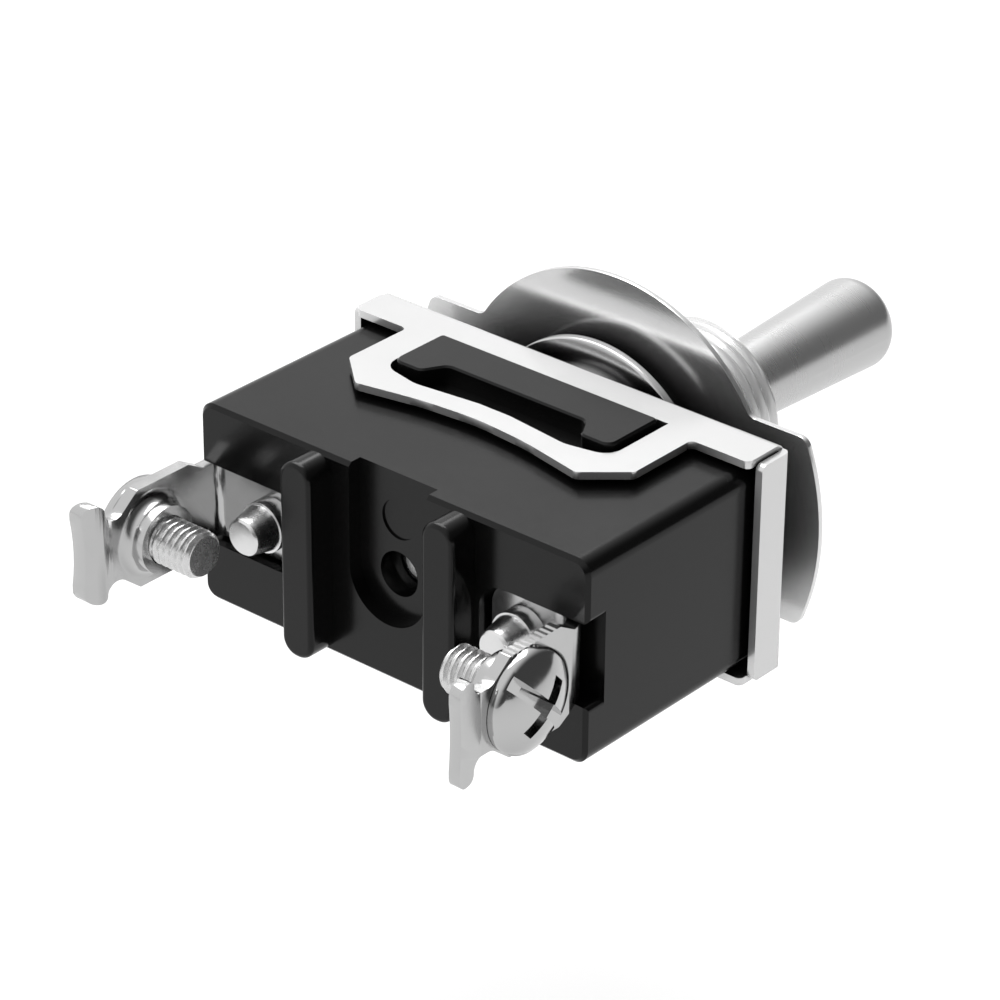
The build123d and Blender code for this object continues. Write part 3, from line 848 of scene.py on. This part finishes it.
@dataclass
class Studio:
    """A pale floor, one soft lamp, a world of light and the photograph's camera.

    Angles are in degrees and distances in millimetres, apart from clip, in metres. The camera
    stands off from seat, a place on the bushing's axis, by distance, across and upward, each
    times scale. The floor is floor_share glow and otherwise matt, to keep the shadow: it glows
    at floor_white for the camera and at floor_glow in reflections. The sky goes from sky_low
    to sky_high over sky_span, which counts along sky_towards.
    """

    azimuth: float = 40.439
    elevation: float = 28.587
    roll: float = 0.482
    distance: float = 249.199
    across: float = -4.682
    upward: float = -1.517
    scale: float = 1.01695
    seat: float = -3.45
    lens: float = 150.06
    sensor: float = 36.0
    clip: tuple[float, float] = (0.01, 20.0)
    floor_half: float = 4000.0
    floor_level: float = -32.0
    floor_share: float = 0.7
    floor_glow: float = 0.95
    floor_white: float = 1.16
    sky_towards: Point = (-0.8, -0.25, 0.5)
    sky_span: tuple[float, float] = (-0.3, 0.55)
    sky_low: float = 0.08
    sky_high: float = 1.0
    lamp_place: Point = (-120.0, 60.0, 260.0)
    lamp_size: float = 240.0
    lamp_watts: float = 0.8

    def build(self) -> None:
        """Builds the floor, the world, the lamp and the camera."""
        self._floor()
        self._world()
        self._lamp()
        self._camera()
        LOG.info("built the studio")

    def _floor(self) -> None:
        """Adds the pale floor, which shows white to the camera and keeps the shadow."""
        mesh = bpy.data.meshes.new("floor")
        half = self.floor_half * MM
        level = self.floor_level * MM
        corners = [
            (-half, -half, level),
            (half, -half, level),
            (half, half, level),
            (-half, half, level),
        ]
        mesh.from_pydata(corners, [], [(0, 1, 2, 3)])
        paper = bpy.data.materials.new("paper_matt_white")
        paper.use_nodes = True
        tree = paper.node_tree
        tree.nodes.clear()
        path = add_node(tree, "ShaderNodeLightPath")
        seen = add_node(
            tree,
            "ShaderNodeMath",
            {0: path.outputs["Is Camera Ray"], 1: path.outputs["Is Glossy Ray"]},
            operation="ADD",
            use_clamp=True,
        )
        share = add_node(
            tree,
            "ShaderNodeMath",
            {0: seen.outputs[0], 1: self.floor_share},
            operation="MULTIPLY",
        )
        strength = add_node(
            tree,
            "ShaderNodeMapRange",
            {
                "Value": path.outputs["Is Camera Ray"],
                "To Min": self.floor_glow,
                "To Max": self.floor_white,
            },
        )
        matt = add_node(tree, "ShaderNodeBsdfDiffuse", {"Color": linear("#F4F4F4")})
        glow = add_node(
            tree,
            "ShaderNodeEmission",
            {"Color": linear("#FFFFFF"), "Strength": strength.outputs[0]},
        )
        both = add_node(
            tree,
            "ShaderNodeMixShader",
            {0: share.outputs[0], 1: matt.outputs[0], 2: glow.outputs[0]},
        )
        add_node(tree, "ShaderNodeOutputMaterial", {"Surface": both.outputs[0]})
        mesh.materials.append(paper)
        add_object("floor", mesh)

    def _world(self) -> None:
        """Sets the world: white to the camera, and a sky brighter on one side to the rest."""
        world = bpy.data.worlds.new("studio_world")
        world.use_nodes = True
        tree = world.node_tree
        tree.nodes.clear()
        path = add_node(tree, "ShaderNodeLightPath")
        way = add_node(tree, "ShaderNodeTexCoord").outputs["Generated"]
        height = add_node(
            tree, "ShaderNodeVectorMath", {0: way, 1: self.sky_towards}, operation="DOT_PRODUCT"
        )
        level = add_node(
            tree,
            "ShaderNodeMapRange",
            {
                "Value": height.outputs["Value"],
                "From Min": self.sky_span[0],
                "From Max": self.sky_span[1],
                "To Min": self.sky_low,
                "To Max": self.sky_high,
            },
            interpolation_type="SMOOTHSTEP",
        )
        sky = add_node(
            tree,
            "ShaderNodeBackground",
            {"Color": linear("#FFFFFF"), "Strength": level.outputs[0]},
        )
        white = add_node(
            tree, "ShaderNodeBackground", {"Color": linear("#FFFFFF"), "Strength": 1.0}
        )
        both = add_node(
            tree,
            "ShaderNodeMixShader",
            {0: path.outputs["Is Camera Ray"], 1: sky.outputs[0], 2: white.outputs[0]},
        )
        add_node(tree, "ShaderNodeOutputWorld", {"Surface": both.outputs[0]})
        bpy.context.scene.world = world

    def _lamp(self) -> None:
        """Adds the soft square lamp, which faces the switch."""
        data = bpy.data.lights.new("softbox", "AREA")
        data.size = self.lamp_size * MM
        data.energy = self.lamp_watts
        place = Vector(self.lamp_place)
        lamp = add_object("softbox", data)
        lamp.location = place * MM
        lamp.rotation_euler = (-place).to_track_quat("-Z", "Y").to_euler()

    def _camera(self) -> None:
        """Adds the camera at the photograph's viewpoint."""
        azimuth, elevation, roll = (
            math.radians(angle) for angle in (self.azimuth, self.elevation, self.roll)
        )
        back = Vector(
            (
                math.sin(azimuth) * math.cos(elevation),
                -math.cos(azimuth) * math.cos(elevation),
                math.sin(elevation),
            )
        )
        right = Vector((math.cos(azimuth), math.sin(azimuth), 0.0))
        up = back.cross(right)
        right, up = (
            right * math.cos(roll) + up * math.sin(roll),
            up * math.cos(roll) - right * math.sin(roll),
        )
        stand = (back * self.distance + right * self.across + up * self.upward) * self.scale
        stand += Vector((0.0, self.seat, 0.0))
        data = bpy.data.cameras.new("camera")
        data.lens = self.lens
        data.sensor_width = self.sensor
        data.clip_start, data.clip_end = self.clip
        camera = add_object("camera", data)
        turn = Matrix((right, up, back)).transposed()
        camera.matrix_world = Matrix.Translation(stand * MM) @ turn.to_4x4()
        bpy.context.scene.camera = camera


def main() -> None:
    """Builds each sub-assembly in order, then the studio, and reports it."""
    logging.basicConfig(level=logging.INFO, format="%(message)s")
    bpy.context.scene.view_settings.view_transform = "Standard"
    dresser = Dresser()
    for assembly in (
        Housing(),
        Bushing(),
        Handle(),
        Terminal(Side.LEFT, screw_level=-25.75, head_seat=15.13),
        Terminal(Side.RIGHT, screw_level=-25.55, head_seat=14.53),
        Mechanism(),
    ):
        assembly.build(dresser)
    Studio().build()


if __name__ == "__main__":
    main()
